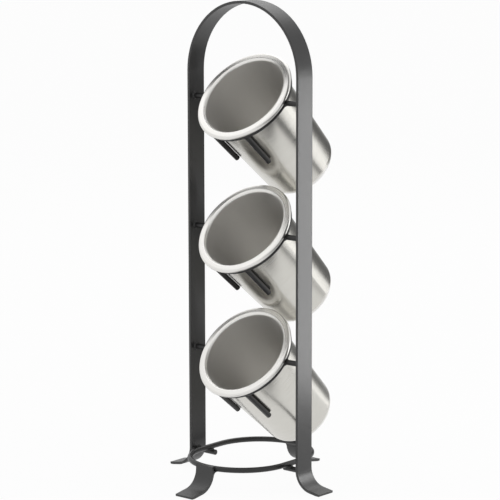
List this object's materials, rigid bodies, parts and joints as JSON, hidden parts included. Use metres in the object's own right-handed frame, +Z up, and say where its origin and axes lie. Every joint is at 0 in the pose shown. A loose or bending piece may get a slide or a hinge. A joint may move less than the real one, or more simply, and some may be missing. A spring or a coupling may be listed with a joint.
{
  "type": "flatware organizer",
  "caption": "Countertop flatware organizer: tapered stainless cylinders held at a tilt, one above another, in rod rings welded inside a black flat bar arch with flared feet",
  "frame": {"origin": "centre of the overall footprint on the floor", "axes": "+Z up, +X to the right in the plane of the arch, seen from the side of the cylinders' mouths; the mouths face -Y and upwards"},
  "size_m": [0.2308, 0.2356, 0.5608],
  "materials": {
    "black_bar": "satin black powder coat on flat steel bar",
    "black_rod": "satin black powder coat on round steel rod",
    "stainless": "satin stainless sheet, polished along its length"
  },
  "bodies": {
    "stand": {"arch_frame": "black_bar", "base_ring": "black_rod", "base_stub_left": "black_rod", "base_stub_right": "black_rod", "front_foot": "black_bar", "rear_foot": "black_bar", "top_ring": "black_rod", "top_stub_left": "black_rod", "top_stub_right": "black_rod", "top_prong_left": "black_rod", "top_prong_right": "black_rod", "middle_ring": "black_rod", "middle_stub_left": "black_rod", "middle_stub_right": "black_rod", "middle_prong_left": "black_rod", "middle_prong_right": "black_rod", "bottom_ring": "black_rod", "bottom_stub_left": "black_rod", "bottom_stub_right": "black_rod", "bottom_prong_left": "black_rod", "bottom_prong_right": "black_rod"},
    "top_cup": {"top_cylinder": "stainless"},
    "middle_cup": {"middle_cylinder": "stainless"},
    "bottom_cup": {"bottom_cylinder": "stainless"}
  },
  "joints": [
    {"name": "top_lift_out", "type": "slide", "parent": "stand", "child": "top_cup", "axis": [0, -0.7864, 0.6177], "range_m": [0, 0.15]},
    {"name": "middle_lift_out", "type": "slide", "parent": "stand", "child": "middle_cup", "axis": [0, -0.7864, 0.6177], "range_m": [0, 0.095]},
    {"name": "bottom_lift_out", "type": "slide", "parent": "stand", "child": "bottom_cup", "axis": [0, -0.7864, 0.6177], "range_m": [0, 0.08]}
  ]
}
